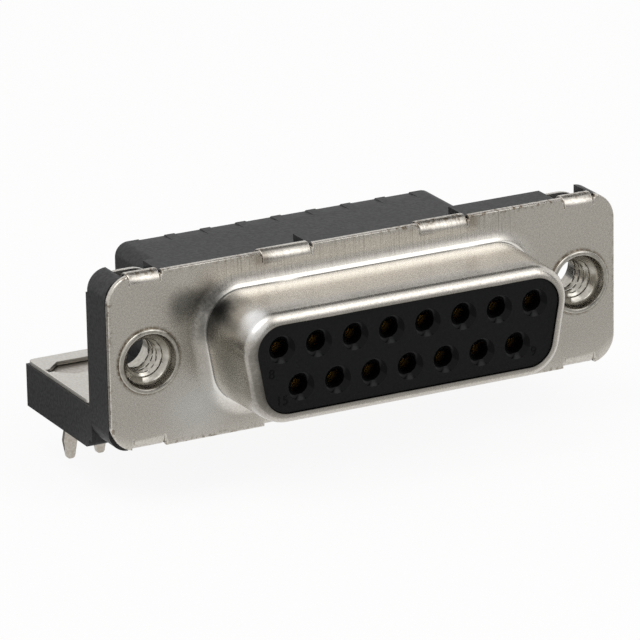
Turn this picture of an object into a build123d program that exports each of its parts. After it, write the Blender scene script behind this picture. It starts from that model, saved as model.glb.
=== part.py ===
from build123d import *
from math import atan, cos, degrees, radians, sin, tan
import os

# Right-angle d-sub socket for a circuit board, fifteen ways in two rows, in millimetres.
# Z 0 is the board's top face, Y 0 the flange's front face and X 0 the middle.
# The mating face looks along -Y. Left and right are as seen from the front.

os.makedirs("parts", exist_ok=True)

# Contact grid, eight ways over seven
axis_height = 6.9
contact_pitch = 2.77
row_spacing = 2.84
upper_count = 8
lower_count = 7

# Front shell, one drawn and stamped sheet
sheet = 0.45
flange_height = 12.5
flange_corner = 2.0
flange_margin = 2.91
insert_margin = 4.53
shroud_margin = 2.435
shroud_height = 7.9
shroud_lean = 10
shroud_corner = 2.6
shroud_reach = 6.25
shroud_foot_radius = 0.85
rim_radius = 0.8
rim_turn = 0.9

# Crimp tabs, folded back over the long edges of the flange
outer_tab_width = 2.3
outer_tab_offset = 0.1
inner_tab_width = 3.7
inner_tab_place = 6.05
tab_bend = 0.75
tab_fold = 45
tab_tail = 0.5
tab_slot_width = 0.3
tab_slot_depth = 0.45

# Clearances
stack_gap = 0.05
slide_gap = 0.05
notch_gap = 0.25

# Insulator
face_setback = 0.12
lead_in_radius = 1.0
socket_radius = 0.63
socket_lip = 0.95
contact_recess = 1.95
insulator_wing_margin = 2.66
insulator_wing_height = 9.8
insulator_wing = 0.6
boss_back = 4.6

# Contacts
barrel_radius = 0.8
barrel_bore = 0.5
barrel_side_count = 8
barrel_bore_depth = 3.6
tine_slot = 0.24
tine_length = 2.9
tail_width = 0.6
tail_thickness = 0.4
tail_bend = 0.8
tail_drop = 2.8
tail_point = 0.12
lower_tail_place = 9.4
upper_tail_place = 12.24

# Rear housing: plate, block and feet
plate_thickness = 3.0
plate_top_drop = 0.25
plate_clearance = 0.6
plate_corner = 1.45
plate_step = 0.25
plate_step_level = 4.4
notch_floor = 4.6
block_margin = 4.11
block_top = 3.8
block_back = 13.85
block_bottom = 1.2
block_wall = 1.2
block_roof = 1.0
block_edge = 1.0
block_back_edge = 0.1
comb_front = 10.2
comb_slot = 2.0
lead_ramp_length = 1.6
lead_ramp_depth = 0.1
foot_front = 3.8
foot_back = 13.8
foot_top = 3.1
foot_toe_radius = 0.4
foot_heel_radius = 0.65

# Threaded inserts, riveted through flange, plate and strap
insert_radius = 1.95
insert_rim_radius = 2.3
insert_rim = 0.25
insert_mouth = 1.8
insert_throat = 1.0
thread_radius = 1.14
thread_length = 1.8
insert_relief = 1.6
insert_head_radius = 2.45
insert_head = 0.45

# Ground straps
strap = 0.3
strap_width = 5.6
strap_neck_width = 5.0
strap_corner = 0.4
strap_back = 13.7
strap_rise = 9.3
strap_shoulder = 2.0
strap_bend = 0.35
strap_hole_length = 4.5
strap_hole_width = 2.9
strap_hole_chamfer = 1.0
strap_nick_length = 0.4
strap_nick_width = 0.6

# Boardlocks
lock_place = 10.82
lock_sheet = 0.4
lock_head = 0.35
lock_head_length = 4.9
lock_head_width = 3.3
lock_head_chamfer = 0.9
lock_gap = 0.1
prong_inner = 0.6
prong_outer = 1.45
barb_reach = 1.66
barb_level = 1.9
barb_start = 0.8
prong_drop = 3.25
prong_tip = 0.28

# Widths, worked outwards from the upper row of contacts
shroud_width = contact_pitch * (upper_count - 1) + 2 * shroud_margin
insert_spacing = shroud_width + 2 * insert_margin
insert_place = insert_spacing / 2
flange_width = insert_spacing + 2 * flange_margin
insulator_wing_width = insert_spacing - 2 * insulator_wing_margin
block_half_width = insert_place - block_margin

# Worked-out places
mating = Plane(origin=(0, 0, axis_height), x_dir=(1, 0, 0), z_dir=(0, -1, 0))
face_reach = shroud_reach - face_setback
body_reach = shroud_reach - sheet - slide_gap
lead_in_angle = 2 * degrees(atan((lead_in_radius - socket_radius) / socket_lip))
plate_front = sheet + stack_gap
plate_back = plate_front + plate_thickness
plate_top = flange_height / 2 - plate_top_drop
plate_low = plate_clearance - axis_height
bend_level = flange_height / 2 - tab_bend
ledge_reach = tab_bend - sheet - stack_gap
ledge_place = tab_bend + ledge_reach * sin(radians(tab_fold))
ledge_level = bend_level + ledge_reach * cos(radians(tab_fold))
ledge_end = ledge_place + (ledge_level - notch_floor) / tan(radians(tab_fold))
hollow_half_width = block_half_width - block_wall
hollow_top = block_top - block_roof
wing_pocket = insulator_wing + stack_gap
bore_radius = barrel_radius + slide_gap
insert_hole = insert_radius + slide_gap
barrel_front = face_reach - contact_recess
lock_top = foot_top - stack_gap

upper_places = [
    (contact_pitch * ((upper_count - 1) / 2 - way), row_spacing / 2) for way in range(upper_count)
]
lower_places = [
    (contact_pitch * ((lower_count - 1) / 2 - way), -row_spacing / 2) for way in range(lower_count)
]
contact_places = upper_places + lower_places
tabs = [
    (side * place, width)
    for side in (-1, 1)
    for place, width in (
        (insert_place + outer_tab_offset, outer_tab_width),
        (inner_tab_place, inner_tab_width),
    )
]
sides = ((-1, "left"), (1, "right"))


def d_section(inset):
    # the shroud's outline, drawn in evenly by the inset
    half_height = shroud_height / 2 - inset
    middle = shroud_width / 2 - inset / cos(radians(shroud_lean))
    lean = half_height * tan(radians(shroud_lean))
    with BuildSketch(mode=Mode.PRIVATE) as section:
        with BuildLine():
            Polyline(
                (middle + lean, half_height),
                (-middle - lean, half_height),
                (-middle + lean, -half_height),
                (middle - lean, -half_height),
                close=True,
            )
        make_face()
        fillet(section.vertices(), shroud_corner - inset)
    return section.sketch


def tab_plane(place, up):
    # a tab's side view, with Y to the right and the way out of the flange's edge upwards
    return Plane(origin=(place, 0, axis_height), x_dir=(0, 1, 0), z_dir=(up, 0, 0))


# Front shell
with BuildPart() as front_shell:
    with BuildSketch(mating):
        RectangleRounded(flange_width, flange_height, flange_corner)
    extrude(amount=-sheet)
    with BuildSketch(mating):
        add(d_section(0))
    extrude(amount=shroud_reach)
    fillet(front_shell.faces().sort_by(Axis.Y)[0].edges(), rim_radius)
    flange_face = front_shell.faces().filter_by(Axis.Y).filter_by_position(Axis.Y, 0, 0)[0]
    fillet(flange_face.inner_wires()[0].edges(), shroud_foot_radius)

    # the hollow and the turned-in rim
    with BuildSketch(mating.offset(-sheet)):
        add(d_section(sheet))
    extrude(amount=shroud_reach, mode=Mode.SUBTRACT)
    with BuildSketch(mating):
        add(d_section(rim_turn))
    extrude(amount=shroud_reach, mode=Mode.SUBTRACT)

    # holes for the inserts
    with BuildSketch(mating):
        with GridLocations(insert_spacing, 0, 2, 1):
            Circle(insert_hole)
    extrude(amount=-sheet, mode=Mode.SUBTRACT)

    # crimp tabs
    for up in (-1, 1):
        for place, width in tabs:
            with BuildSketch(mating):
                with Locations((place, up * flange_height / 2)):
                    Rectangle(width + 2 * tab_slot_width, 2 * tab_slot_depth)
                    Rectangle(width, 2 * tab_bend)
            extrude(amount=-sheet, mode=Mode.SUBTRACT)
            with BuildSketch(tab_plane(place, up)):
                with BuildLine():
                    outer = CenterArc((tab_bend, bend_level), tab_bend, 180, -90 - tab_fold)
                    inner = CenterArc((tab_bend, bend_level), tab_bend - sheet, 180, -90 - tab_fold)
                    outer_tail = PolarLine(outer @ 1, tab_tail, -tab_fold)
                    inner_tail = PolarLine(inner @ 1, tab_tail, -tab_fold)
                    Line(outer @ 0, inner @ 0)
                    Line(outer_tail @ 1, inner_tail @ 1)
                make_face()
            extrude(amount=width / 2, both=True)

# Insulator
with BuildPart() as insulator:
    with BuildSketch(mating.offset(body_reach)):
        add(d_section(sheet + slide_gap))
    extrude(amount=-body_reach - plate_front)
    with BuildSketch(mating.offset(face_reach)):
        add(d_section(rim_turn + slide_gap))
    extrude(amount=-face_reach)
    with BuildSketch(mating.offset(-plate_front)):
        Rectangle(insulator_wing_width, insulator_wing_height)
    extrude(amount=-insulator_wing)
    with BuildSketch(mating.offset(-plate_front)):
        Rectangle(2 * (hollow_half_width - 2 * slide_gap), 2 * (hollow_top - 2 * slide_gap))
    extrude(amount=plate_front - boss_back)
    with Locations(mating.offset(face_reach)):
        with Locations(*contact_places):
            CounterSinkHole(socket_radius, lead_in_radius, face_reach, lead_in_angle)
    with BuildSketch(mating.offset(barrel_front + slide_gap)):
        with Locations(*contact_places):
            RegularPolygon(bore_radius, barrel_side_count)
    extrude(amount=-barrel_front - slide_gap - boss_back, mode=Mode.SUBTRACT)

# Rear housing
with BuildPart() as rear_housing:
    with BuildSketch(mating.offset(-plate_front)):
        with Locations((0, (plate_top + plate_low) / 2)):
            RectangleRounded(flange_width, plate_top - plate_low, plate_corner)
    extrude(amount=-plate_thickness)
    with BuildSketch(mating.offset(plate_step - plate_back)):
        with Locations((0, plate_step_level)):
            Rectangle(flange_width, flange_height, align=(Align.CENTER, Align.MIN))
    extrude(amount=-plate_step, mode=Mode.SUBTRACT)

    # block over the tails
    with BuildSketch(Plane.XZ.offset(-block_back)):
        with Locations((0, block_bottom)):
            Rectangle(
                2 * block_half_width,
                axis_height + block_top - block_bottom,
                align=(Align.CENTER, Align.MIN),
            )
    extrude(amount=block_back - plate_back + plate_step)
    block_crown = rear_housing.faces().filter_by(Axis.Z).filter_by_position(
        Axis.Z, axis_height + block_top, axis_height + block_top
    )[0]
    fillet(block_crown.edges().filter_by(Axis.Y), block_edge)
    back_edges = rear_housing.edges().filter_by_position(Axis.Y, block_back, block_back)
    chamfer(back_edges.sort_by(Axis.Z)[-1], block_back_edge)

    # feet
    with BuildSketch(Plane.YZ.offset(block_half_width)) as foot:
        with BuildLine():
            Polyline(
                (plate_back - plate_step, plate_clearance),
                (foot_front, plate_clearance),
                (foot_front, 0),
                (foot_back, 0),
                (foot_back, foot_top),
                (plate_back - plate_step, foot_top),
                close=True,
            )
        make_face()
        board_corners = foot.vertices().group_by(Axis.Y)[0].sort_by(Axis.X)
        fillet(board_corners[0], foot_toe_radius)
        fillet(board_corners[-1], foot_heel_radius)
    extrude(amount=flange_width / 2 - block_half_width)
    mirror(about=Plane.YZ)

    # hollow, window for the insulator, and comb
    with BuildSketch(Plane.XY.offset(block_bottom)):
        with Locations((0, plate_back)):
            Rectangle(
                2 * hollow_half_width, comb_front - plate_back, align=(Align.CENTER, Align.MIN)
            )
        with Locations(*[(place, comb_front) for place, level in upper_places]):
            Rectangle(comb_slot, block_back - comb_front, align=(Align.CENTER, Align.MIN))
    extrude(amount=axis_height + hollow_top - block_bottom, mode=Mode.SUBTRACT)
    with BuildSketch(mating.offset(-plate_front)):
        Rectangle(2 * hollow_half_width, 2 * hollow_top)
    extrude(amount=-plate_thickness, mode=Mode.SUBTRACT)
    with BuildSketch(mating.offset(-plate_front)):
        Rectangle(insulator_wing_width + 2 * slide_gap, insulator_wing_height + 2 * slide_gap)
    extrude(amount=-wing_pocket, mode=Mode.SUBTRACT)
    for place, level in upper_places:
        with BuildSketch(Plane.YZ.offset(place)):
            with BuildLine():
                Polyline(
                    (block_back - lead_ramp_length, axis_height + block_top),
                    (block_back, axis_height + block_top),
                    (block_back, axis_height + block_top - lead_ramp_depth),
                    close=True,
                )
            make_face()
        extrude(amount=comb_slot / 2, both=True, mode=Mode.SUBTRACT)

    # notches that the crimp tabs hook into
    for up in (-1, 1):
        for place, width in tabs:
            with BuildSketch(tab_plane(place, up)):
                with BuildLine():
                    Polyline(
                        (plate_front, flange_height),
                        (plate_front, bend_level),
                        (ledge_place, ledge_level),
                        (ledge_end, notch_floor),
                        (plate_back, notch_floor),
                        (plate_back, flange_height),
                        close=True,
                    )
                make_face()
            extrude(amount=width / 2 + notch_gap, both=True, mode=Mode.SUBTRACT)

    # ways for the inserts and the boardlocks
    with BuildSketch(mating.offset(-plate_front)):
        with GridLocations(insert_spacing, 0, 2, 1):
            Circle(insert_hole)
    extrude(amount=-plate_thickness, mode=Mode.SUBTRACT)
    with BuildSketch(Plane.XY):
        with Locations((-insert_place, lock_place), (insert_place, lock_place)):
            Rectangle(2 * (barb_reach + lock_gap), lock_sheet + 2 * lock_gap)
    extrude(amount=foot_top, mode=Mode.SUBTRACT)
    with BuildSketch(Plane.XY.offset(lock_top - lock_head)):
        with Locations((-insert_place, lock_place), (insert_place, lock_place)):
            Rectangle(lock_head_length + 2 * lock_gap, lock_head_width + 2 * lock_gap)
    extrude(amount=lock_head + stack_gap, mode=Mode.SUBTRACT)

for side, hand in sides:
    middle = side * insert_place

    # Threaded insert, a rivet with a rolled rim in front and a head behind
    with BuildPart() as threaded_insert:
        with BuildSketch(Plane(origin=(middle, 0, axis_height))):
            with BuildLine():
                Polyline(
                    (insert_mouth, -insert_rim),
                    (insert_rim_radius, -insert_rim),
                    (insert_rim_radius, 0),
                    (insert_radius, 0),
                    (insert_radius, plate_back + strap),
                    (insert_head_radius, plate_back + strap),
                    (insert_head_radius, plate_back + strap + insert_head),
                    (insert_relief, plate_back + strap + insert_head),
                    (insert_relief, insert_throat + thread_length),
                    (thread_radius, insert_throat + thread_length),
                    (thread_radius, insert_throat),
                    close=True,
                )
            make_face()
        revolve(axis=Axis((middle, 0, axis_height), (0, 1, 0)))
    threaded_insert.part.label = f"threaded_insert_{hand}"
    export_step(threaded_insert.part, f"parts/threaded_insert_{hand}.step")

    # Ground strap, along the foot and up the back of the plate
    with BuildPart() as ground_strap:
        with BuildSketch(Plane.XY.offset(foot_top)):
            with Locations((middle, (plate_back + strap_bend + strap_back) / 2)):
                RectangleRounded(strap_width, strap_back - plate_back - strap_bend, strap_corner)
            with Locations((middle, plate_back)):
                Rectangle(strap_neck_width, 1, align=(Align.CENTER, Align.MIN))
            with Locations((middle, lock_place)):
                with BuildSketch(mode=Mode.PRIVATE) as hexagon:
                    Rectangle(strap_hole_length, strap_hole_width)
                    chamfer(hexagon.vertices(), strap_hole_chamfer)
                add(hexagon.sketch, mode=Mode.SUBTRACT)
                Rectangle(
                    strap_hole_length + 2 * strap_nick_length,
                    strap_nick_width,
                    mode=Mode.SUBTRACT,
                )
        extrude(amount=strap)
        with BuildSketch(mating.offset(-plate_back)) as rise:
            with Locations((middle, foot_top - axis_height)):
                Rectangle(strap_neck_width, strap_rise, align=(Align.CENTER, Align.MIN))
            fillet(rise.vertices().group_by(Axis.Y)[-1], strap_shoulder)
            with Locations((middle, 0)):
                Circle(insert_hole, mode=Mode.SUBTRACT)
        extrude(amount=-strap)
        crease = ground_strap.edges().filter_by(Axis.X).filter_by_position(
            Axis.Y, plate_back + strap, plate_back + strap
        )
        fillet(crease.sort_by(Axis.Z)[0], strap_bend)
    ground_strap.part.label = f"ground_strap_{hand}"
    export_step(ground_strap.part, f"parts/ground_strap_{hand}.step")

    # Boardlock, a head in the foot's pocket and two barbed prongs through the board
    with BuildPart() as boardlock:
        with BuildSketch(Plane.XY.offset(lock_top - lock_head)) as head:
            with Locations((middle, lock_place)):
                Rectangle(lock_head_length, lock_head_width)
            chamfer(head.vertices(), lock_head_chamfer)
        extrude(amount=lock_head)
        for out in (-1, 1):
            with BuildSketch(
                Plane(origin=(middle, lock_place, 0), x_dir=(out, 0, 0), z_dir=(0, -out, 0))
            ) as prong:
                with BuildLine():
                    Polyline(
                        (prong_inner, lock_top - lock_head),
                        (prong_outer, lock_top - lock_head),
                        (prong_outer, -barb_start),
                        (barb_reach, -barb_level),
                        ((prong_inner + barb_reach) / 2 + prong_tip, -prong_drop),
                        ((prong_inner + barb_reach) / 2 - prong_tip, -prong_drop),
                        (prong_inner, -barb_level),
                        close=True,
                    )
                make_face()
                fillet(prong.vertices().group_by(Axis.Y)[0], prong_tip * 0.9)
                fillet(prong.vertices().sort_by(Axis.X)[-1], prong_tip)
            extrude(amount=lock_sheet / 2, both=True)
    boardlock.part.label = f"boardlock_{hand}"
    export_step(boardlock.part, f"parts/boardlock_{hand}.step")

# Contacts, numbered from the upper right as seen from the front
for number, (place, level) in enumerate(contact_places, start=1):
    tail_place = upper_tail_place if level > 0 else lower_tail_place
    height = axis_height + level
    half = tail_thickness / 2
    with BuildPart() as contact:
        with BuildSketch(mating.offset(barrel_front)):
            with Locations((place, level)):
                RegularPolygon(barrel_radius, barrel_side_count)
        extrude(amount=-barrel_front - boss_back)
        with BuildSketch(mating.offset(barrel_front)):
            with Locations((place, level)):
                RegularPolygon(barrel_bore, barrel_side_count)
        extrude(amount=-barrel_bore_depth, mode=Mode.SUBTRACT)
        with BuildSketch(mating.offset(barrel_front)):
            with Locations((place, level)):
                Rectangle(2 * barrel_radius, tine_slot)
        extrude(amount=-tine_length, mode=Mode.SUBTRACT)
        with BuildSketch(Plane.YZ.offset(place)) as tail:
            with BuildLine():
                Polyline(
                    (boss_back, height + half),
                    (tail_place + half, height + half),
                    (tail_place + half, -tail_drop),
                    (tail_place - half, -tail_drop),
                    (tail_place - half, height - half),
                    (boss_back, height - half),
                    close=True,
                )
            make_face()
            elbow = tail.vertices().group_by(Axis.Y)
            fillet(elbow[-1].sort_by(Axis.X)[-1], tail_bend + half)
            fillet(tail.vertices().group_by(Axis.Y)[-2].sort_by(Axis.X)[-1], tail_bend - half)
            chamfer(tail.vertices().group_by(Axis.Y)[0], tail_point)
        extrude(amount=tail_width / 2, both=True)
    contact.part.label = f"contact_{number:02d}"
    export_step(contact.part, f"parts/contact_{number:02d}.step")

front_shell.part.label = "front_shell"
export_step(front_shell.part, "parts/front_shell.step")
insulator.part.label = "insulator"
export_step(insulator.part, "parts/insulator.step")
rear_housing.part.label = "rear_housing"
export_step(rear_housing.part, "parts/rear_housing.step")
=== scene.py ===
import bmesh
import bpy
import math
from mathutils import Matrix, Quaternion, Vector
from mathutils.geometry import delaunay_2d_cdt


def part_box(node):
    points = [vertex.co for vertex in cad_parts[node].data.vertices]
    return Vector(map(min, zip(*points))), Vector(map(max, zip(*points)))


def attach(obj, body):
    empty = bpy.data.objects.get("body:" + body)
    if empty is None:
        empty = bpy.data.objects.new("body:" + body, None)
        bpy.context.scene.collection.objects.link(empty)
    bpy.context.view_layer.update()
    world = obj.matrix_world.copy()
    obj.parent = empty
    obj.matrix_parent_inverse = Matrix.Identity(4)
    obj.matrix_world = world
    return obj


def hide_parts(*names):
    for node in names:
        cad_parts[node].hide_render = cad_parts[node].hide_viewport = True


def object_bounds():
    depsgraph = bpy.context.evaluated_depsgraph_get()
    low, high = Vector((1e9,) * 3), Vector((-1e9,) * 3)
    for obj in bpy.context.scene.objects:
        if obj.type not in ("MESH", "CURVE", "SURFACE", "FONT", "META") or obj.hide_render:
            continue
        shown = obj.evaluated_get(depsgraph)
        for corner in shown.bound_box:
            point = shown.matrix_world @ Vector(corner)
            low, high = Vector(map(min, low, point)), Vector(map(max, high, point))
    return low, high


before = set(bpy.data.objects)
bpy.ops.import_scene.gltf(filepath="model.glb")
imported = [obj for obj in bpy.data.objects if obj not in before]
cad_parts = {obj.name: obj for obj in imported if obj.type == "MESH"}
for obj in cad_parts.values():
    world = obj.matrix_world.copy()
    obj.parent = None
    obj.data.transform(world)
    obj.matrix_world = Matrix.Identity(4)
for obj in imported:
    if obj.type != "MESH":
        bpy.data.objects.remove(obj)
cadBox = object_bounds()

# Right-angle d-sub socket for a circuit board, fifteen ways. Sizes here are in millimetres
# and become metres where a mesh, a lamp or a texture is made.
mm = 0.001
weld = 0.0005  # corners closer than this become one
sharpAngle = 38  # an edge that turns by more, in degrees, is shaded as an edge

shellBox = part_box("front_shell")
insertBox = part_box("threaded_insert_right")
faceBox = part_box("insulator")
axisHeight = (insertBox[0].z + insertBox[1].z) / 2 / mm  # the mating axis above the board
insertPlace = (insertBox[0].x + insertBox[1].x) / 2 / mm
insertRim = 2.3  # radius of the rim in front
flangeHalfWidth = shellBox[1].x / mm
flangeHalfHeight = shellBox[1].z / mm - axisHeight
shroudReach = -shellBox[0].y / mm
faceReach = -faceBox[0].y / mm
partLow = cadBox[0].z / mm


# Small tools

colourMix = dict(result=2, data_type="RGBA")  # for a Mix node that mixes colours, on inputs 6 and 7


def fromHex(text):
    # an sRGB hex colour as the linear colour that a shader takes
    channels = [int(text[i:i + 2], 16) / 255 for i in (1, 3, 5)]
    return [c / 12.92 if c <= 0.04045 else ((c + 0.055) / 1.055) ** 2.4 for c in channels] + [1]


def perMetre(size):
    # the scale of a pattern whose marks are this many millimetres apart
    return 1 / (size * mm)


def between(start, end):
    # the inputs of a Map Range node that rises from one value to another
    return {"From Min": start, "From Max": end}


def addNode(tree, kind, inputs=None, result=0, **settings):
    # adds one node and gives one of its outputs; an input is a value, or the output that feeds it
    node = tree.nodes.new("ShaderNode" + kind)
    for name, value in settings.items():
        setattr(node, name, value)
    for name, value in (inputs or {}).items():
        if isinstance(value, bpy.types.NodeSocket):
            tree.links.new(value, node.inputs[name])
        else:
            node.inputs[name].default_value = value
    return node.outputs[result]


def startMaterial(name, **sockets):
    # a material with its Principled shader set, ready for patterns
    material = bpy.data.materials.new(name)
    material.use_nodes = True
    tree = material.node_tree
    shader = tree.nodes["Principled BSDF"]
    for socket, value in sockets.items():
        shader.inputs[socket.replace("_", " ")].default_value = value
    return material, tree, shader


def addMesh(name, build, material, node=None):
    # turns a bmesh in metres into a shown piece with clean shading
    bmesh.ops.remove_doubles(build, verts=build.verts, dist=weld * mm)
    bmesh.ops.recalc_face_normals(build, faces=build.faces)
    mesh = bpy.data.meshes.new(name)
    build.to_mesh(mesh)
    build.free()
    mesh.shade_smooth()
    mesh.set_sharp_from_angle(angle=math.radians(sharpAngle))
    piece = bpy.data.objects.new(name, mesh)
    bpy.context.scene.collection.objects.link(piece)
    piece.data.materials.append(material)
    shading = piece.modifiers.new("even shading", "WEIGHTED_NORMAL")
    shading.keep_sharp = True
    shading.weight = 80
    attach(piece, "root")
    if node:
        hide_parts(node)


def arc(centre, radius, start, end, steps):
    # points on an arc, with angles in degrees
    return [
        (centre[0] + radius * math.cos(math.radians(start + (end - start) * i / steps)),
         centre[1] + radius * math.sin(math.radians(start + (end - start) * i / steps)))
        for i in range(steps + 1)
    ]


def circle(centre, radius, steps):
    # a closed ring of points
    return arc(centre, radius, 0, 360 * (steps - 1) / steps, steps - 1)


def turning(length, start, end, steps):
    # the steps of a path whose angle goes evenly from one to another, each a length and an angle
    return [(length / steps, start + (end - start) * (i + 0.5) / steps) for i in range(steps)]


def walk(path, steps):
    # takes a path of offsets and depths on by those steps, with angles in degrees from level
    for length, angle in steps:
        offset, depth = path[-1]
        turn = math.radians(angle)
        path.append((offset + length * math.cos(turn), depth - length * math.sin(turn)))


def inset(points, distance):
    # a closed outline, drawn anticlockwise, moved inwards with its corners kept
    moved = []
    for i, point in enumerate(points):
        here = Vector(point)
        before = (here - Vector(points[i - 1])).normalized()
        after = (Vector(points[(i + 1) % len(points)]) - here).normalized()
        inwards = Vector((-before.y - after.y, before.x + after.x)).normalized()
        reach = distance / max(0.3, inwards.dot(Vector((-before.y, before.x))))
        moved.append(here + inwards * reach)
    return moved


def addRing(build, points, depth):
    # an outline seen from the front, at a depth in front of the flange's face
    return [build.verts.new(Vector((x, -depth, axisHeight + z)) * mm) for x, z in points]


def bridge(build, first, second):
    # a band of faces between two rings with the same number of points
    for i in range(len(first)):
        build.faces.new((first[i - 1], first[i], second[i], second[i - 1]))


def bridgeAll(build, rings):
    # bands of faces from each ring to the next
    for first, second in zip(rings, rings[1:]):
        bridge(build, first, second)


def within(point, ring):
    # whether a point lies inside a ring of vertices, by counting the sides to its right
    crossed = 0
    for i, vert in enumerate(ring):
        (x, z), (lastX, lastZ) = vert.co.xz, ring[i - 1].co.xz
        if (z > point.y) != (lastZ > point.y):
            crossing = x + (point.y - z) * (lastX - x) / (lastZ - z)
            crossed += point.x < crossing
    return crossed % 2 == 1


def fillBetween(build, rings):
    # a flat face inside the first ring, with the other rings as its holes
    verts = [vert for ring in rings for vert in ring]
    edges = []
    for ring in rings:
        start = verts.index(ring[0])
        edges += [(start + i, start + (i + 1) % len(ring)) for i in range(len(ring))]
    insideOutline = 1  # the kind of result that leaves out what lies outside the edges
    found = delaunay_2d_cdt([vert.co.xz / mm for vert in verts], edges, [], insideOutline, 0.0001)
    for corners in found[2]:
        face = [verts[found[3][i][0]] for i in corners]
        middle = sum((vert.co.xz for vert in face), Vector((0, 0))) / len(face)
        if not any(within(middle, ring) for ring in rings[1:]):
            build.faces.new(face)


# Materials

def tinPlatedSteel():
    # Deep-drawn steel with a matt tin plate: soft grey reflections, a fine sandy grain, draw
    # streaks above the shroud, brown specks along the sheared edge, painted shade, painted dark
    # reflections and a painted glint at the shroud's left end, a painted highlight on the foot
    # and painted shade in the crease round it
    tin = dict(
        pale="#CFCAC2",
        dark="#B5B0A8",
        streak="#9C978E",
        tinge="#6B5B45",
        # painted shade in the crease and at the lip's edge, and a painted dark reflection behind the lip
        crease="#24221F",
        # a painted highlight on the foot and the wall's upper edge
        highlightTone="#F1EEE8",
        roughness=(0.22, 0.34),
        grain=0.13,  # the real one is finer, and is drawn this coarse so that it shows
        grainHeight=0.0006,
        cloud=5.0,
        cloudShare=0.5,
        streakWidth=0.13,  # coarser than the real draw lines too
        streakLength=3.0,
        streakLevel=4.6,  # full from this level above the axis
        streakFade=0.7,
        streakEnd=12.5,  # no further than this from the middle
        streakTaper=2,
        speck=0.28,
        tingeReach=0.4,
        darkRingWidth=0.22,  # of the brown ring round each insert's rim
        darkRingStrength=0.85,
        darkRingLeast=0.25,  # share left where the specks break it
        patchWander=0.5,  # how far a patch's outline strays
        patchSpecks=0.3,  # how much the specks count in that, beside the clouds
        patchCore=0.3,
        creaseLeast=0.45,  # share left where the clouds break it
        # place from the axis, reach, colour and strength of each patch: painted shade, painted dark
        # reflections, a painted glint and painted highlights about the shroud's left end, a dark smear that
        # is partly painted reflection, and brown stains
        paintedLightAndStains=(
            # a dark smear on the flange left of the shroud's upper corner, partly painted dark reflection
            ((-13.9, 0, 3.6), 1.8, "#5A5B59", 0.7),
            # painted dark reflection on the shroud's upper left corner, by the foot
            ((-11.9, -1.1, 3.3), 2.5, "#232423", 0.97),
            # painted shade on the lip at the shroud's left end, above and below the axis
            ((-10.5, -6.2, 1.2), 2.6, "#4A4742", 0.85),
            ((-10.6, -6.2, -1.2), 2.6, "#4A4742", 0.85),
            # painted dark reflection over the shroud's left wall
            ((-11.6, -3.2, 0.2), 3.6, "#75766C", 0.6),
            # a painted glint at the upper left corner, just behind the lip
            ((-11.3, -5.0, 3.4), 1.5, "#FFFFFF", 0.8),
            # painted dark reflection down the left end of the foot
            ((-12.4, -0.8, 1.7), 1.7, "#33322F", 0.6),
            # a painted highlight on the flange below the shroud's lower left end
            ((-13.2, 0, -3.8), 3.5, "#E0E0DD", 0.6),
            # brown stains beside two tabs
            ((-8.1, 0, 5.8), 1.0, "#6B5B45", 0.5),
            ((8.2, 0, 5.9), 1.0, "#6B5B45", 0.5),
        ),
        # the values of the noise between which each mark comes in
        sandy=(0.32, 0.68),
        mottled=(0.1, 1.4),
        streaked=(0.48, 0.75),
        specked=(0.5, 0.62),
        uneven=(0.38, 0.6),
        ringed=(0.36, 0.52),
        strayed=(0.4, 0.9),
        creased=(0.38, 0.5),
        polished=(0.3, 0.7),
    )
    material, tree, shader = startMaterial("matt tin plate on drawn steel", Metallic=1)
    place = addNode(tree, "TexCoord", result="Object")
    split = addNode(tree, "SeparateXYZ", {0: place}).node.outputs
    sideways = addNode(tree, "Math", {0: split["X"]}, operation="ABSOLUTE")
    level = addNode(tree, "Math", {0: split["Z"], 1: axisHeight * mm}, operation="SUBTRACT")
    upright = addNode(tree, "Math", {0: level}, operation="ABSOLUTE")

    # grain and clouds over the whole sheet
    grain = addNode(tree, "TexNoise", {"Vector": place, "Scale": perMetre(tin["grain"]), "Detail": 4.0})
    cloud = addNode(tree, "TexNoise", {"Vector": place, "Scale": perMetre(tin["cloud"]), "Detail": 3.0})
    sandy = addNode(tree, "MapRange", {0: grain, **between(*tin["sandy"])})
    cloudy = addNode(tree, "Math", {0: cloud, 1: tin["cloudShare"], 2: sandy}, operation="MULTIPLY_ADD")
    mottled = addNode(tree, "MapRange", {0: cloudy, **between(*tin["mottled"])})
    colour = addNode(tree, "Mix", {0: mottled, 6: fromHex(tin["pale"]), 7: fromHex(tin["dark"])}, **colourMix)

    # draw streaks, upright, on the strip of flange above the shroud
    across, along = perMetre(tin["streakWidth"]), perMetre(tin["streakLength"])
    stretched = addNode(tree, "Mapping", {0: place, "Scale": (across, along, along)})
    streaks = addNode(tree, "TexNoise", {"Vector": stretched, "Scale": 1.0, "Detail": 3.0})
    streaked = addNode(tree, "MapRange", {0: streaks, **between(*tin["streaked"])})
    strip = addNode(tree, "MapRange", {
        0: level, **between((tin["streakLevel"] - tin["streakFade"]) * mm, tin["streakLevel"] * mm),
    })
    strip = addNode(tree, "MapRange", {
        0: sideways, **between(tin["streakEnd"] * mm, (tin["streakEnd"] - tin["streakTaper"]) * mm),
        "To Max": strip,
    })
    drawn = addNode(tree, "Math", {0: streaked, 1: strip}, operation="MULTIPLY")
    colour = addNode(tree, "Mix", {0: drawn, 6: colour, 7: fromHex(tin["streak"])}, **colourMix)

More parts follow.
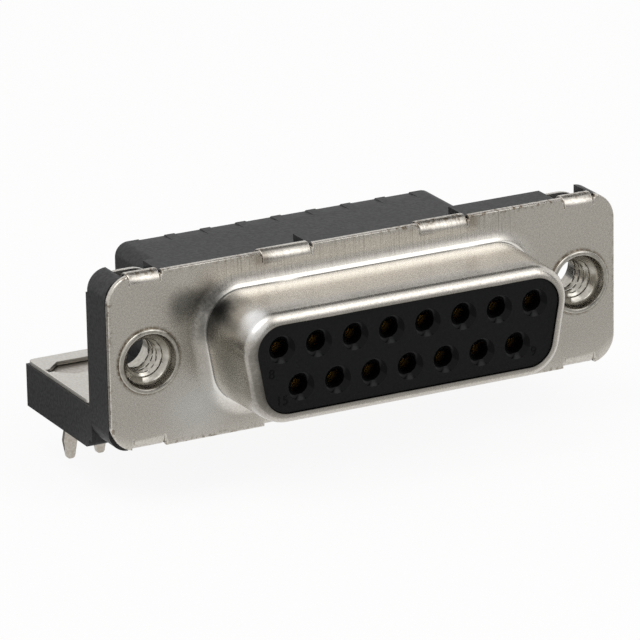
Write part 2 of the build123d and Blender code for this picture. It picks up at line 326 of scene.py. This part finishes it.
    # brown specks, thickest on the flange's sheared outline
    toEnd = addNode(tree, "Math", {0: sideways, 1: flangeHalfWidth * mm}, operation="SUBTRACT")
    toEdge = addNode(tree, "Math", {0: upright, 1: flangeHalfHeight * mm}, operation="SUBTRACT")
    nearest = addNode(tree, "Math", {0: toEnd, 1: toEdge}, operation="MAXIMUM")
    edge = addNode(tree, "MapRange", {0: nearest, **between(-tin["tingeReach"] * mm, 0.0)})
    specks = addNode(tree, "TexNoise", {"Vector": place, "Scale": perMetre(tin["speck"]), "Detail": 3.0})
    specked = addNode(tree, "MapRange", {0: specks, **between(*tin["specked"])})
    uneven = addNode(tree, "MapRange", {0: cloud, **between(*tin["uneven"])})
    tinged = addNode(tree, "Math", {0: edge, 1: specked}, operation="MULTIPLY")
    tinged = addNode(tree, "Math", {0: tinged, 1: uneven}, operation="MULTIPLY")
    colour = addNode(tree, "Mix", {0: tinged, 6: colour, 7: fromHex(tin["tinge"])}, **colourMix)

    # a dark brown ring round each insert's rim, where it sits on the flange, broken by the specks
    fromInsert = addNode(tree, "Math", {0: sideways, 1: insertPlace * mm}, operation="SUBTRACT")
    around = addNode(tree, "CombineXYZ", {0: fromInsert, 1: level})
    around = addNode(tree, "VectorMath", {0: around}, result="Value", operation="LENGTH")
    ring = addNode(tree, "MapRange", {
        0: around, **between((insertRim + tin["darkRingWidth"]) * mm, insertRim * mm),
        "To Max": tin["darkRingStrength"],
    })
    broken = addNode(tree, "MapRange", {0: specks, **between(*tin["ringed"]), "To Min": tin["darkRingLeast"]})
    ringed = addNode(tree, "Math", {0: ring, 1: broken}, operation="MULTIPLY")
    colour = addNode(tree, "Mix", {0: ringed, 6: colour, 7: fromHex(tin["tinge"])}, **colourMix)

    # a painted highlight on the draw radius and the wall's upper edge
    paintedHighlight = addNode(tree, "Attribute", result="Fac", attribute_name="paintedHighlight")
    colour = addNode(tree, "Mix", {0: paintedHighlight, 6: colour, 7: fromHex(tin["highlightTone"])}, **colourMix)

    # the painted shade, reflections and highlights and the stains, with outlines broken up by the clouds and
    # the specks
    stray = addNode(tree, "Math", {0: specks, 1: tin["patchSpecks"], 2: cloud}, operation="MULTIPLY_ADD")
    wander = tin["patchWander"] * mm
    stray = addNode(tree, "MapRange", {
        0: stray, **between(*tin["strayed"]), "To Min": -wander, "To Max": wander,
    })
    for (x, y, z), reach, patchColour, strength in tin["paintedLightAndStains"]:
        centre = Vector((x, y, axisHeight + z)) * mm
        away = addNode(tree, "VectorMath", {0: place, 1: centre}, result="Value", operation="DISTANCE")
        away = addNode(tree, "Math", {0: away, 1: stray}, operation="ADD")
        patch = addNode(tree, "MapRange", {
            0: away, **between(reach * mm, tin["patchCore"] * mm), "To Max": strength,
        }, interpolation_type="SMOOTHSTEP")
        colour = addNode(tree, "Mix", {0: patch, 6: colour, 7: fromHex(patchColour)}, **colourMix)

    # painted shade in the crease and along the lip's edge, and a painted dark reflection in the band
    # behind the lip, marked on the mesh and broken by the clouds
    crease = addNode(tree, "Attribute", result="Fac", attribute_name="crease")
    broken = addNode(tree, "MapRange", {0: cloud, **between(*tin["creased"]), "To Min": tin["creaseLeast"]})
    creased = addNode(tree, "Math", {0: crease, 1: broken}, operation="MULTIPLY")
    colour = addNode(tree, "Mix", {0: creased, 6: colour, 7: fromHex(tin["crease"])}, **colourMix)
    tree.links.new(colour, shader.inputs["Base Color"])

    smooth, rough = tin["roughness"]
    rough = addNode(tree, "MapRange", {
        0: grain, **between(*tin["polished"]), "To Min": smooth, "To Max": rough,
    })
    tree.links.new(rough, shader.inputs["Roughness"])
    height = addNode(tree, "Math", {0: drawn, 1: -1.0, 2: grain}, operation="MULTIPLY_ADD")
    bump = addNode(tree, "Bump", {"Height": height, "Distance": tin["grainHeight"] * mm})
    tree.links.new(bump, shader.inputs["Normal"])
    return material


def grainedFinish(name, tones, grain, grainHeight, turn=(0.35, 0.65), **sockets):
    # a finish in two close tones, mixed by a fine grain that also roughens the surface: the
    # first tone turns into the other between two values of the noise. The real grains are too
    # fine to show, so each is drawn as coarse as it needs to be.
    material, tree, shader = startMaterial(name, **sockets)
    place = addNode(tree, "TexCoord", result="Object")
    noise = addNode(tree, "TexNoise", {"Vector": place, "Scale": perMetre(grain), "Detail": 3.0})
    mottled = addNode(tree, "MapRange", {0: noise, **between(*turn)})
    one, other = [fromHex(tone) for tone in tones]
    colour = addNode(tree, "Mix", {0: mottled, 6: one, 7: other}, **colourMix)
    tree.links.new(colour, shader.inputs["Base Color"])
    bump = addNode(tree, "Bump", {"Height": noise, "Distance": grainHeight * mm})
    tree.links.new(bump, shader.inputs["Normal"])
    return material


tinPlate = tinPlatedSteel()

# Glass-filled thermoplastic, moulded: near-black. The housing has a spark-eroded texture that
# breaks up its reflections. The insulator is smoother, and its lead-ins catch a small glint.
housingPlastic = grainedFinish(
    "black moulded PBT, fine texture", ("#0F0F10", "#2E2E2F"), grain=0.22, grainHeight=0.014,
    Roughness=0.5, Specular_IOR_Level=0.3,
)
insulatorPlastic = grainedFinish(
    "black moulded PBT, satin", ("#0C0C0D", "#131314"), grain=0.14, grainHeight=0.001,
    Roughness=0.42, Specular_IOR_Level=0.14,
)
leadInPlastic = grainedFinish(
    "black moulded PBT, polished", ("#050506", "#070708"), grain=0.14, grainHeight=0.0005,
    Roughness=0.14, Specular_IOR_Level=0.11,
)

# Thin plates on turned or stamped metal: the nickel is bright, the tin soft and grey, and the
# gold yellow, each with a slight cloudiness
nickelPlate = grainedFinish(
    "bright nickel plate on brass", ("#B8B4AC", "#A29E96"), grain=0.3, grainHeight=0.0005,
    Metallic=1, Roughness=0.2,
)
strapTin = grainedFinish(
    "matt tin plate on brass strip", ("#D3D0CA", "#C4C0B9"), grain=0.15, grainHeight=0.001,
    Metallic=1, Roughness=0.38,
)
lockTin = grainedFinish(
    "satin tin plate on phosphor bronze", ("#BDB8B0", "#A8A197"), grain=0.2, grainHeight=0.001,
    Metallic=1, Roughness=0.3,
)
goldFlash = grainedFinish(
    "gold flash on copper alloy", ("#EAB852", "#D8A23C"), grain=0.2, grainHeight=0.0005,
    Metallic=1, Roughness=0.25,
)
print("materials made")


# Front shell: a flange sheared and a shroud drawn from one sheet

shell = dict(
    sheet=0.45,
    flangeCorner=2.0,
    edge=0.12,  # roll-over of the sheared edge
    holeRadius=2.0,
    holeSteps=48,
    shroudHalfWidth=12.13,  # at the axis level
    shroudHalfHeight=3.95,
    lean=10,
    corner=2.6,
    mouth=0.78,  # how far the rim turns in
    rimRadius=0.74,
    rimSteps=12,
    taperAngle=84,
    taperLength=1.2,
    taperSteps=6,
    wallAngle=88.8,
    wallSteps=4,
    footRadius=0.6,  # draw radius between flange and shroud
    footEnd=48,  # how far the draw radius turns before the crease
    footSteps=10,
    dishAngle=20,
    dishWidth=0.85,
    dishSteps=6,
    creaseWidth=0.1,  # of each side of the groove
    creaseAngles=(25, 125),
    creaseLip=0.02,
    tabs=((16.76, 2.3), (6.05, 3.7)),  # place and width of each pair
    slotWidth=0.13,
    slotDepth=0.3,
    tabBend=0.75,
    tabFold=45,  # how far past level a tab is folded
    tabTail=0.5,
    tabSteps=18,
    tabEdge=0.072,
)

# How much painted shade and painted highlight the shroud's rings get, from the mouth outwards:
# shade along the lip's edge and in the crease, a dark reflection in a band behind the lip, and
# highlights on the foot and the wall's upper edge. Levels are above the axis: a mark comes in
# over the second number of millimetres from the first.
shroudMarks = dict(
    lipShade=(1.0, 0.4, 0.25, 0.12),
    darkReflectionBand=(0.12, 0.27, 0.35, 0.37, 0.34, 0.27, 0.19, 0.11, 0.05),
    darkReflectionStart=11,
    darkReflectionLevel=(1, 1),
    creaseDark=0.9,
    creaseFaint=0.2,  # at the sides and below
    creaseLeft=0.6,  # on the left end
    leftFrom=-11,
    creaseLevel=(2.6, 1.6),
    wallHighlight=(0, 0.65, 1),  # on the wall's last rings
    wallHighlightLevel=(2, 1),
    footHighlightLevel=(0.5, 3),
    footHighlightLeast=0.35,
)


def shroudRing(offset, steps=20):
    # the rounded D outline, moved outwards by the offset
    slope = math.tan(math.radians(shell["lean"]))
    level = shell["shroudHalfHeight"] - shell["corner"]
    middle = shell["shroudHalfWidth"] - shell["corner"] / math.cos(math.radians(shell["lean"]))
    top = middle + level * slope
    low = middle - level * slope
    turn = 90 + shell["lean"]
    points = []
    for centre, start, sweep in (
        ((top, level), -shell["lean"], turn),
        ((-top, level), 90, turn),
        ((-low, -level), 90 + turn, 180 - turn),
        ((low, -level), 270, 180 - turn),
    ):
        points += arc(centre, shell["corner"] + offset, start, start + sweep, steps)
    return points


def shroudProfile():
    # offset and depth of each ring of the shroud's outside, from its mouth to the flange, and
    # the number of the first ring of the crease
    path = [(-shell["mouth"], shroudReach)]
    rim = shell["rimRadius"]
    path += arc((-rim, shroudReach - rim), rim, 90, 90 - shell["taperAngle"], shell["rimSteps"])
    walk(path, turning(shell["taperLength"], shell["taperAngle"], shell["wallAngle"], shell["taperSteps"]))
    # the foot, measured from the flange's face up to the crease
    dish = turning(shell["dishWidth"], 0, shell["dishAngle"], shell["dishSteps"])
    turned = math.radians(shell["footEnd"] - shell["dishAngle"])
    bend = turning(shell["footRadius"] * turned, shell["dishAngle"], shell["footEnd"], shell["footSteps"])
    sides = [(shell["creaseWidth"], angle) for angle in shell["creaseAngles"]]
    crease = [(shell["creaseLip"], shell["footEnd"])] + sides + [(shell["creaseLip"], shell["wallAngle"])]
    foot = dish + bend + crease
    rise = sum(length * math.sin(math.radians(angle)) for length, angle in foot)
    wall = (path[-1][1] - rise) / math.sin(math.radians(shell["wallAngle"]))
    walk(path, turning(wall, shell["wallAngle"], shell["wallAngle"], shell["wallSteps"]))
    creaseStart = len(path)
    walk(path, foot[::-1])
    return path, creaseStart


def flangeOutline():
    # the flange's outline, anticlockwise from its right end, with the tabs' slots cut out
    w, h, r = flangeHalfWidth, flangeHalfHeight, shell["flangeCorner"]
    slot, deep = shell["slotWidth"], shell["slotDepth"]
    slotEnd = shell["tabs"][0][0] + shell["tabs"][0][1] / 2 + slot
    cutAngle = math.degrees(math.acos((slotEnd - w + r) / r))
    half = arc((w - r, h - r), r, 0, cutAngle, 10)  # the first slot opens in the corner
    for number, (place, width) in enumerate(shell["tabs"]):
        if number:
            half.append((place + width / 2 + slot, h))
        for side in (1, -1):
            cut = [
                (place + side * (width / 2 + slot), h - deep),
                (place + side * width / 2, h - deep),
                (place + side * width / 2, h - shell["tabBend"]),
            ]
            half += cut[::side]
        half.append((place - width / 2 - slot, h))
    upper = half + [(-x, z) for x, z in reversed(half)]
    return upper + [(-x, -z) for x, z in upper]


def levelOf(vert):
    # a vertex's height above the axis
    return vert.co.z / mm - axisHeight


def share(level, start, over):
    # 0 up to the start, then rising to 1 over a length
    return min(1, max(0, (level - start) / over))


def markShroud(rings, creaseStart, crease, paintedHighlight):
    # paints shade in the crease and along the lip's edge, a dark reflection in the band behind the lip, and
    # highlights on the foot and the wall's upper edge
    marks = shroudMarks
    # painted shade in the crease, strongest on top
    for ring in rings[creaseStart:creaseStart + 3]:
        for vert in ring:
            onLeft = vert.co.x / mm < marks["leftFrom"]
            least = marks["creaseLeft"] if onLeft else marks["creaseFaint"]
            upper = share(levelOf(vert), *marks["creaseLevel"])
            vert[crease] = least + (marks["creaseDark"] - least) * upper
    # a painted highlight on the wall's last rings and across the foot
    for strength, ring in zip(marks["wallHighlight"], rings[creaseStart - 3:]):
        for vert in ring:
            vert[paintedHighlight] = strength * share(levelOf(vert), *marks["wallHighlightLevel"])
    foot = rings[creaseStart:]
    for i, ring in enumerate(foot):
        for vert in ring:
            fromAxis = share(abs(levelOf(vert)), *marks["footHighlightLevel"])
            vert[paintedHighlight] = (len(foot) - 1 - i) / len(foot) * max(marks["footHighlightLeast"], fromAxis)
    # painted shade along the lip's edge, then a painted dark reflection in a band behind it
    for strength, ring in zip(marks["lipShade"], rings):
        for vert in ring:
            vert[crease] = strength
    for strength, ring in zip(marks["darkReflectionBand"], rings[marks["darkReflectionStart"]:]):
        for vert in ring:
            vert[crease] = strength * share(levelOf(vert), *marks["darkReflectionLevel"])


def buildShell():
    build = bmesh.new()
    crease = build.verts.layers.float.new("crease")
    paintedHighlight = build.verts.layers.float.new("paintedHighlight")
    profile, creaseStart = shroudProfile()
    rings = [addRing(build, shroudRing(offset), depth) for offset, depth in profile]
    markShroud(rings, creaseStart, crease, paintedHighlight)
    bridgeAll(build, rings)
    # the turned-in rim and the hollow
    t = shell["sheet"]
    inside = [(-shell["mouth"], shroudReach - t), (-t, shroudReach - t), (-t, -t)]
    inner = [rings[0]] + [addRing(build, shroudRing(offset), depth) for offset, depth in inside]
    bridgeAll(build, inner)
    # flange with a rolled front edge
    outline = flangeOutline()
    e = shell["edge"]
    edges = [addRing(build, inset(outline, e - x), y - e) for x, y in arc((0, 0), e, 90, 0, 3)]
    edges.append(addRing(build, outline, -t + e / 3))
    edges.append(addRing(build, inset(outline, e / 3), -t))
    bridgeAll(build, edges)
    holes = []
    for side in (-1, 1):
        hole = circle((side * insertPlace, 0), shell["holeRadius"], shell["holeSteps"])
        holes.append((addRing(build, hole, 0), addRing(build, hole, -t)))
    for front, back in holes:
        bridge(build, front, back)
    fillBetween(build, [edges[0], rings[-1]] + [front for front, back in holes])
    fillBetween(build, [edges[-1], inner[-1]] + [back for front, back in holes])
    for up in (-1, 1):
        for place, width in shell["tabs"]:
            for side in (-1, 1):
                addTab(build, side * place, width, up)
    addMesh("front_shell_drawn", build, tinPlate, "front_shell")


def addTab(build, place, width, up):
    # one crimp tab, bent back over the flange's edge and down behind it
    h, t, r = flangeHalfHeight, shell["sheet"], shell["tabBend"]
    start = h - r - shell["edge"]
    fold = math.radians(-shell["tabFold"])
    tail = Vector((math.cos(fold), math.sin(fold))) * shell["tabTail"]
    end, steps = 90 - shell["tabFold"], shell["tabSteps"]
    outer = [Vector(p) for p in arc((r, h - r), r, 180, end, steps)]
    inner = [Vector(p) for p in arc((r, h - r), r - t, 180, end, steps)]
    outer = [Vector((0, start))] + outer + [outer[-1] + tail]
    inner = [Vector((t, start))] + inner + [inner[-1] + tail]
    side = inner + outer[::-1]
    e = shell["tabEdge"]
    rings = [(inset(side, e - x), e - y - width / 2) for x, y in arc((0, 0), e, 90, 0, 3)]
    rings += [(points, -x) for points, x in rings[::-1]]
    made = [
        [build.verts.new(Vector((place + x, y, axisHeight + up * z)) * mm) for y, z in points]
        for points, x in rings
    ]
    bridgeAll(build, made)
    for ring in (made[0], made[-1]):
        for i in range(len(outer) - 1):
            build.faces.new((ring[i], ring[i + 1], ring[-2 - i], ring[-1 - i]))


buildShell()
print("front shell drawn")


# Threaded inserts: turned, with a rolled rim in front and a riveted head behind

insert = dict(
    rimRadius=insertRim,
    rimHeight=0.25,
    rimRoll=0.16,
    rimUndercut=0.02,
    rimSeat=0.04,
    bodyRadius=1.95,
    mouthRadius=1.93,
    mouthRound=((0.12, 0.005), (0.04, 0.04), (0, 0.12)),  # out from the mouth, down from the rim's top
    mouthTaper=((0.02, 0.05), (0.08, 0.35), (0.22, 0.6)),  # in from the mouth, behind the face
    threadStart=0.8,
    threadEnd=2.9,
    threadSteps=44,
    runIn=0.25,
    runOut=0.2,
    crestWidth=1.35,
    minorRadius=1.14,
    majorRadius=1.42,
    pitch=0.635,  # forty turns to the inch
    reliefRadius=1.6,
    reliefRun=0.1,
    headRadius=2.45,
    headBack=4.25,
    headFront=3.8,
    headChamfer=0.1,
)


def insertRadius(depth, turn):
    # the bore's radius at a depth behind the face, where the thread winds with the turn
    depth = min(max(depth, insert["threadStart"]), insert["threadEnd"])
    wind = (depth / insert["pitch"] - turn / (2 * math.pi)) % 1
    crest = min(1, abs(2 * wind - 1) * insert["crestWidth"])
    into = (depth - insert["threadStart"]) / insert["runIn"]
    outOf = (insert["threadEnd"] - depth) / insert["runOut"]
    full = (insert["majorRadius"] - insert["minorRadius"]) * crest
    return insert["majorRadius"] - full * max(0, min(1, into, outOf))


def buildInsert(side, hand, steps=96):
    build = bmesh.new()
    top, rim, mouth, roll = (insert[key] for key in ("rimHeight", "rimRadius", "mouthRadius", "rimRoll"))
    path = [(rim - insert["rimUndercut"], 0), (rim, -insert["rimSeat"])]
    path += arc((rim - roll, roll - top), roll, -20, -90, 5)
    path += [(mouth + out, down - top) for out, down in insert["mouthRound"]]
    path += [(mouth - into, depth) for into, depth in insert["mouthTaper"]]
    rings = [[(radius, depth)] * steps for radius, depth in path]
    threadLength = insert["threadEnd"] - insert["threadStart"]
    for i in range(insert["threadSteps"] + 1):
        depth = insert["threadStart"] + threadLength * i / insert["threadSteps"]
        rings.append([(insertRadius(depth, 2 * math.pi * k / steps), depth) for k in range(steps)])
    relief, head, chamfer = insert["reliefRadius"], insert["headRadius"], insert["headChamfer"]
    back = [
        (relief, insert["threadEnd"] + insert["reliefRun"]),
        (relief, insert["headBack"]),
        (head - chamfer, insert["headBack"]),
        (head, insert["headBack"] - chamfer),
        (head, insert["headFront"]),
        (insert["bodyRadius"], insert["headFront"]),
        (insert["bodyRadius"], 0),
    ]
    rings += [[(radius, depth)] * steps for radius, depth in back]
    made = []
    for ring in rings:
        made.append([
            build.verts.new(Vector((
                side * insertPlace + radius * math.cos(2 * math.pi * k / steps),
                depth,
                axisHeight + radius * math.sin(2 * math.pi * k / steps),
            )) * mm)
            for k, (radius, depth) in enumerate(ring)
        ])
    bridgeAll(build, made + made[:1])
    name = "threaded_insert_" + hand
    addMesh(name + "_turned", build, nickelPlate, name)


for side, hand in ((-1, "left"), (1, "right")):
    buildInsert(side, hand)
print("inserts turned")


# Way numbers moulded on the insulator's face

numbers = dict(
    size=0.95,
    height=0.05,
    # text, place from the middle and level above the axis
    places=(("1", 11.15, 2.6), ("8", -10.48, -0.25), ("9", 9.6, -2.1), ("15", -9.75, -2.25)),
)


def addNumber(text, x, z):
    curve = bpy.data.curves.new("way_" + text, "FONT")
    curve.body = text
    curve.size = numbers["size"] * mm
    curve.extrude = numbers["height"] / 2 * mm
    curve.align_x = "CENTER"
    curve.align_y = "CENTER"
    holder = bpy.data.objects.new("way_" + text, curve)
    bpy.context.scene.collection.objects.link(holder)
    bpy.context.view_layer.update()
    mesh = bpy.data.meshes.new_from_object(holder)
    bpy.data.objects.remove(holder)
    mesh.transform(Matrix.Rotation(math.pi / 2, 4, "X"))
    mesh.transform(Matrix.Translation(Vector((x, -faceReach, axisHeight + z)) * mm))
    mesh.materials.clear()
    mesh.materials.append(leadInPlastic)
    piece = bpy.data.objects.new("way_number_" + text, mesh)
    bpy.context.scene.collection.objects.link(piece)
    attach(piece, "root")


for text, x, z in numbers["places"]:
    addNumber(text, x, z)
print("way numbers moulded")


# Front of the insulator: its face reaches out to the shroud's lip, and the sockets'
# lead-ins are flared inside the insulator's own funnels

face = dict(
    band=0.5,  # how far the outer band of the face reaches inwards
    gap=0.03,  # to the lip
    edge=0.03,
    depth=0.4,
    proud=0.004,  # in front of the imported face, so that the two don't fight
)

leadIn = dict(
    pitch=2.77,
    rowSpacing=2.84,
    rows=(8, 7),  # ways in the upper and the lower row
    # radius at a depth behind the face
    flare=((1.0, -face["proud"]), (0.97, 0.01), (0.64, 0.3), (0.61, 0.34), (0.61, 1.25)),
)


def buildLeadIns(steps=40):
    build = bmesh.new()
    for row, ways in enumerate(leadIn["rows"]):
        level = leadIn["rowSpacing"] * (0.5 - row)
        for way in range(ways):
            middle = (leadIn["pitch"] * (way - (ways - 1) / 2), level)
            rings = []
            for radius, depth in leadIn["flare"]:
                rings.append(addRing(build, circle(middle, radius, steps), faceReach - depth))
            bridgeAll(build, rings)
    addMesh("socket_lead_ins", build, leadInPlastic)


def buildFaceBand():
    build = bmesh.new()
    outer = -shell["mouth"] - face["gap"]
    front = faceReach + face["proud"]
    path = [
        (outer - face["band"], front),
        (outer - face["edge"], front),
        (outer, front - face["edge"]),
        (outer, front - face["depth"]),
    ]
    bridgeAll(build, [addRing(build, shroudRing(offset), depth) for offset, depth in path])
    addMesh("insulator_face_band", build, insulatorPlastic)


buildFaceBand()
buildLeadIns()
print("sockets flared")


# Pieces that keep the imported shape, some with their corners eased

easing = dict(
    housing=0.06,
    strap=0.05,
    lock=0.05,
    segments=2,
    corner=30,  # the least angle of an edge that is eased
)


def addEased(node, width, material):
    # a copy of a CAD piece with its corners eased by that many millimetres
    build = bmesh.new()
    build.from_mesh(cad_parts[node].data)
    bmesh.ops.remove_doubles(build, verts=build.verts, dist=weld * mm)
    flat = math.radians(1)
    bmesh.ops.dissolve_limit(build, angle_limit=flat, verts=build.verts, edges=build.edges)
    corner = math.radians(easing["corner"])
    edges = [e for e in build.edges if len(e.link_faces) == 2 and e.calc_face_angle(0) > corner]
    bmesh.ops.bevel(
        build, geom=edges, offset=width * mm, segments=easing["segments"], profile=0.5,
        affect="EDGES", clamp_overlap=True,
    )
    addMesh(node + "_eased", build, material, node)


def dress(node, material):
    # gives a CAD piece its material
    node.data.materials.clear()
    node.data.materials.append(material)


addEased("rear_housing", easing["housing"], housingPlastic)
for hand in ("left", "right"):
    addEased("ground_strap_" + hand, easing["strap"], strapTin)
    addEased("boardlock_" + hand, easing["lock"], lockTin)
for name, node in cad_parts.items():
    if name.startswith("contact"):
        dress(node, goldFlash)
dress(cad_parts["insulator"], insulatorPlastic)
print("plastics, straps, locks and contacts finished")


# Floor, soft lights and backdrop

studio = dict(
    tableColour="#EDEDEB",
    tableSize=4000,
    tableDrop=0.05,  # below the part
    seenWhite=0.92,  # how much of the table's look to the camera and in reflections is plain white
    skyStrength=0.5,
    panels=(
        # name, place, width, height, radiance, share left at the lower edge, the upper edge and the sides
        ("front softbox", (285, -412, 326), 440, 740, 2.7, 0.12, 0.35, 0.3),
        ("overhead softbox", (-270, -17, 500), 400, 400, 3.0, 0.4, 0.4, 0.4),
    ),
    # the part of a panel over which it falls off at each side, the lower and the upper edge
    fallOff=(0.3, 0.55, 0.25),
    cards=(
        # name, colour and corners, from the table up; cards only show in reflections
        ("ceiling card", "#8A8A8A", ((60, 60, 643), (620, 60, 643), (620, 520, 473), (60, 520, 473))),
        ("front card", "#141414", ((57, -837, -8), (763, -347, -8), (763, -347, 1303), (57, -837, 1303))),
        ("grey card", "#CFCFCD", ((-34, -9, 0.04), (-420, -420, 0.04), (300, -420, 0.04), (300, -9, 0.04))),
        # the rear card is painted shadow: a grey sheet on the table behind the part's left, seen only in
        # reflections, where the part's shadow falls
        ("rear card", "#9C9C9A", ((-90, 12, 0.04), (-14, 12, 0.04), (-14, 110, 0.04), (-90, 110, 0.04))),
    ),
)


def whiteToCamera(tree):
    # 1 for a ray from the camera or from a reflection, 0 for a ray that gathers light
    paths = addNode(tree, "LightPath").node.outputs
    mirrored = {0: paths["Is Glossy Ray"], 1: paths["Is Transmission Ray"]}
    mirrored = addNode(tree, "Math", mirrored, operation="MAXIMUM")
    return addNode(tree, "Math", {0: paths["Is Camera Ray"], 1: mirrored}, operation="MAXIMUM")


def addStage(name, corners, material):
    build = bmesh.new()
    build.faces.new([build.verts.new(Vector(corner) * mm) for corner in corners])
    mesh = bpy.data.meshes.new(name)
    build.to_mesh(mesh)
    build.free()
    piece = bpy.data.objects.new(name, mesh)
    bpy.context.scene.collection.objects.link(piece)
    piece.data.materials.append(material)
    return piece


def matt(name, colour):
    # painted board without any shine
    return startMaterial(name, Base_Color=fromHex(colour), Roughness=1.0, Specular_IOR_Level=0.0)


def buildTable():
    table, tree, shader = matt("matt white table", studio["tableColour"])
    glow = addNode(tree, "Emission", {"Strength": 1.0})
    white = addNode(tree, "Math", {0: whiteToCamera(tree), 1: studio["seenWhite"]}, operation="MULTIPLY")
    mixed = addNode(tree, "MixShader", {0: white, 1: shader.outputs[0], 2: glow})
    tree.links.new(mixed, tree.nodes["Material Output"].inputs["Surface"])
    half = studio["tableSize"] / 2
    low = partLow - studio["tableDrop"]
    addStage("table", [(-half, -half, low), (half, -half, low), (half, half, low), (-half, half, low)], table)
    for name, colour, corners in studio["cards"]:
        card = addStage(name, [(x, y, low + z) for x, y, z in corners], matt(name, colour)[0])
        card.visible_camera = False
        card.visible_diffuse = False
        card.visible_shadow = False


def buildWorld():
    world = bpy.data.worlds.new("white studio")
    bpy.context.scene.world = world
    world.use_nodes = True
    tree = world.node_tree
    background = tree.nodes["Background"].inputs
    background["Color"].default_value = (1, 1, 1, 1)
    strength = addNode(tree, "MapRange", {
        0: whiteToCamera(tree), "To Min": studio["skyStrength"], "To Max": 1.0,
    })
    tree.links.new(strength, background["Strength"])


def addPanel(name, place, width, height, radiance, lower, upper, sides):
    lamp = bpy.data.lights.new(name, "AREA")
    lamp.shape = "RECTANGLE"
    lamp.size = width * mm
    lamp.size_y = height * mm
    lamp.energy = radiance * math.pi * lamp.size * lamp.size_y
    panel = bpy.data.objects.new(name, lamp)
    bpy.context.scene.collection.objects.link(panel)
    panel.location = Vector(place) * mm
    panel.rotation_mode = "QUATERNION"
    towards = Vector((0, 0, axisHeight)) - Vector(place)
    panel.rotation_quaternion = towards.to_track_quat("-Z", "Y")
    # the diffuser, brightest in the middle
    lamp.use_nodes = True
    tree = lamp.node_tree
    across = addNode(tree, "SeparateXYZ", {0: addNode(tree, "NewGeometry", result="Parametric")}).node.outputs
    level = addNode(tree, "Value")
    level.default_value = 1.0
    sideFall, lowerFall, upperFall = studio["fallOff"]
    for axis, start, end, least in (
        ("X", 0, sideFall, sides),
        ("X", 1, 1 - sideFall, sides),
        ("Y", 0, lowerFall, lower),
        ("Y", 1, 1 - upperFall, upper),
    ):
        fall = {0: across[axis], **between(start, end), "To Min": least, "To Max": level}
        level = addNode(tree, "MapRange", fall)
    tree.links.new(level, tree.nodes["Emission"].inputs["Strength"])


buildTable()
buildWorld()
for panel in studio["panels"]:
    addPanel(*panel)

camera = dict(
    place=(-169.42, -323.85, 130.96),
    aim=(-2.006, 3.238, 6.342),
    roll=-1.092,
    lens=316.6,
    sensor=36,
    nearest=10,
)
cameraData = bpy.data.cameras.new("camera")
cameraData.lens = camera["lens"]
cameraData.sensor_width = camera["sensor"]
cameraData.clip_start = camera["nearest"] * mm
cameraObject = bpy.data.objects.new("camera", cameraData)
bpy.context.scene.collection.objects.link(cameraObject)
cameraPlace = Vector(camera["place"])
facing = (Vector(camera["aim"]) - cameraPlace).to_track_quat("-Z", "Y")
facing = facing @ Quaternion((0, 0, 1), math.radians(camera["roll"]))
cameraObject.matrix_world = Matrix.Translation(cameraPlace * mm) @ facing.to_matrix().to_4x4()
bpy.context.scene.camera = cameraObject
bpy.context.scene.view_settings.view_transform = "Standard"
print("studio lit")
